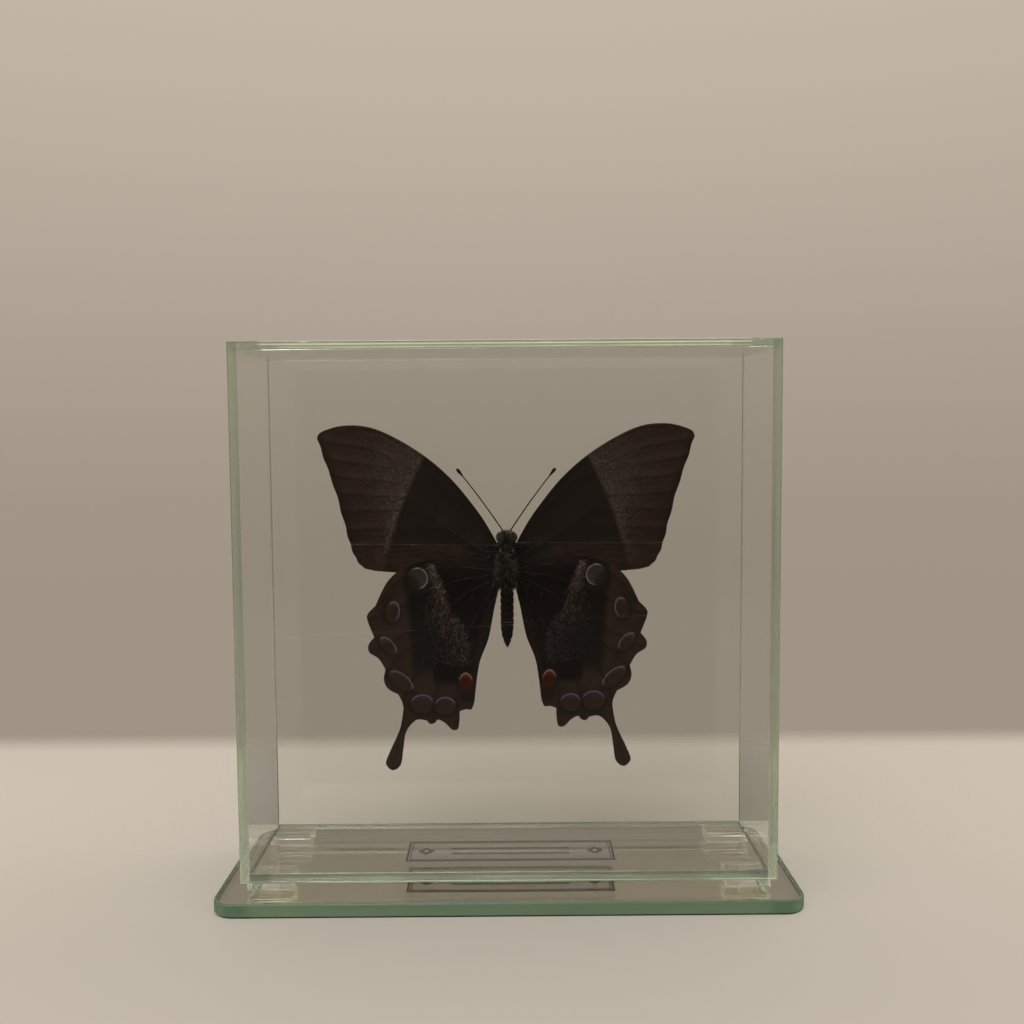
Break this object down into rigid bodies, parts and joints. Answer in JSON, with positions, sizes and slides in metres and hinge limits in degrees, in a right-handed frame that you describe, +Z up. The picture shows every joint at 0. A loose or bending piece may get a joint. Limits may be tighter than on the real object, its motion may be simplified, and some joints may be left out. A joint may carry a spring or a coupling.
{
  "type": "mounted swallowtail butterfly in a glass display case",
  "caption": "Shallow rectangular glass case on a mirror base plate, holding a spread tailed butterfly on fine nylon lines above a small clear label.",
  "frame": {"origin": "middle of the base plate's underside, at the bottom centre of the whole object's box", "axes": "+Z up; +Y out of the front of the case, the side the wings' upper surfaces face; +X to the right as seen from the back of the case"},
  "size_m": [0.164, 0.056, 0.157],
  "materials": {
    "mirror_plate": "clear float glass silvered underneath, with a ground and polished green edge",
    "clear_pad": "clear, colourless, polished",
    "case_glass": "clear float glass, polished, green where it is seen edge on",
    "label_film": "clear film with dark blue printed rules, satin",
    "wing_scales": "matt scales: brown-black with pale dusting and eyespots below, bright blue with black margins above",
    "body_hair": "short dark hair, matt",
    "dark_horn": "dark brown horn, satin",
    "nylon_line": "clear monofilament, glossy"
  },
  "bodies": {
    "root": {"base_plate": "mirror_plate", "back_left_pad": "clear_pad", "front_left_pad": "clear_pad", "back_right_pad": "clear_pad", "front_right_pad": "clear_pad", "back_pane": "case_glass", "front_pane": "case_glass", "left_pane": "case_glass", "right_pane": "case_glass", "floor_pane": "case_glass", "top_pane": "case_glass", "label": "label_film", "left_forewing": "wing_scales", "right_forewing": "wing_scales", "left_hindwing": "wing_scales", "right_hindwing": "wing_scales", "thorax": "body_hair", "head": "body_hair", "left_eye": "dark_horn", "right_eye": "dark_horn", "abdomen": "body_hair", "left_antenna": "dark_horn", "right_antenna": "dark_horn", "left_fore_leg": "dark_horn", "left_middle_leg": "dark_horn", "left_hind_leg": "dark_horn", "right_fore_leg": "dark_horn", "right_middle_leg": "dark_horn", "right_hind_leg": "dark_horn", "neck_line": "nylon_line", "abdomen_line": "nylon_line"}
  },
  "joints": []
}
